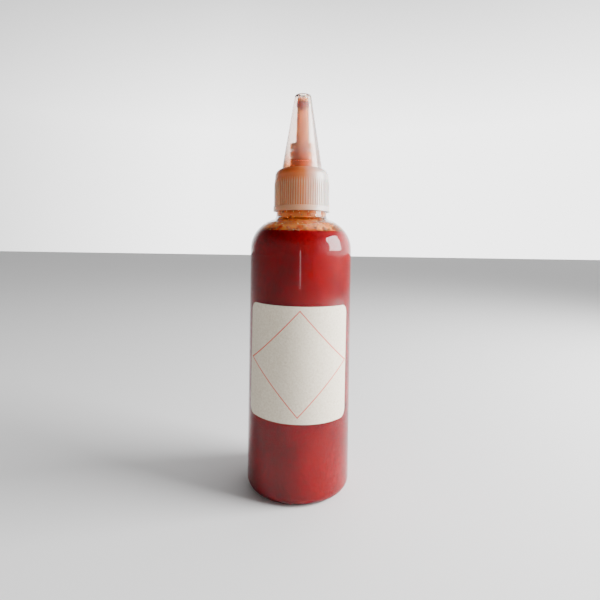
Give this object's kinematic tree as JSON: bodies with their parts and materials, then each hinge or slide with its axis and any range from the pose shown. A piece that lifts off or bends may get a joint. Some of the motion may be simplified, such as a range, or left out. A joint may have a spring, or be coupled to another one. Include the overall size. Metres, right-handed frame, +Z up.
{
  "type": "hot sauce bottle",
  "caption": "Round clear plastic squeeze bottle of red chilli sauce with a ribbed collar, a conical twist nozzle and a plain paper label.",
  "frame": {"origin": "centre of the ring that the bottle stands on, at the table's surface", "axes": "+Z up along the bottle's axis, -Y out of the side that carries the label"},
  "size_m": [0.04, 0.0401, 0.1532],
  "materials": {
    "clear_pet": "clear blown plastic, glossy",
    "chilli_sauce": "thick smooth red sauce",
    "natural_polypropylene": "uncoloured translucent moulded plastic",
    "label_paper": "uncoated cream paper sticker"
  },
  "bodies": {
    "root": {"bottle": "clear_pet", "sauce": "chilli_sauce", "collar": "natural_polypropylene", "tip": "natural_polypropylene", "label": "label_paper"}
  },
  "joints": []
}
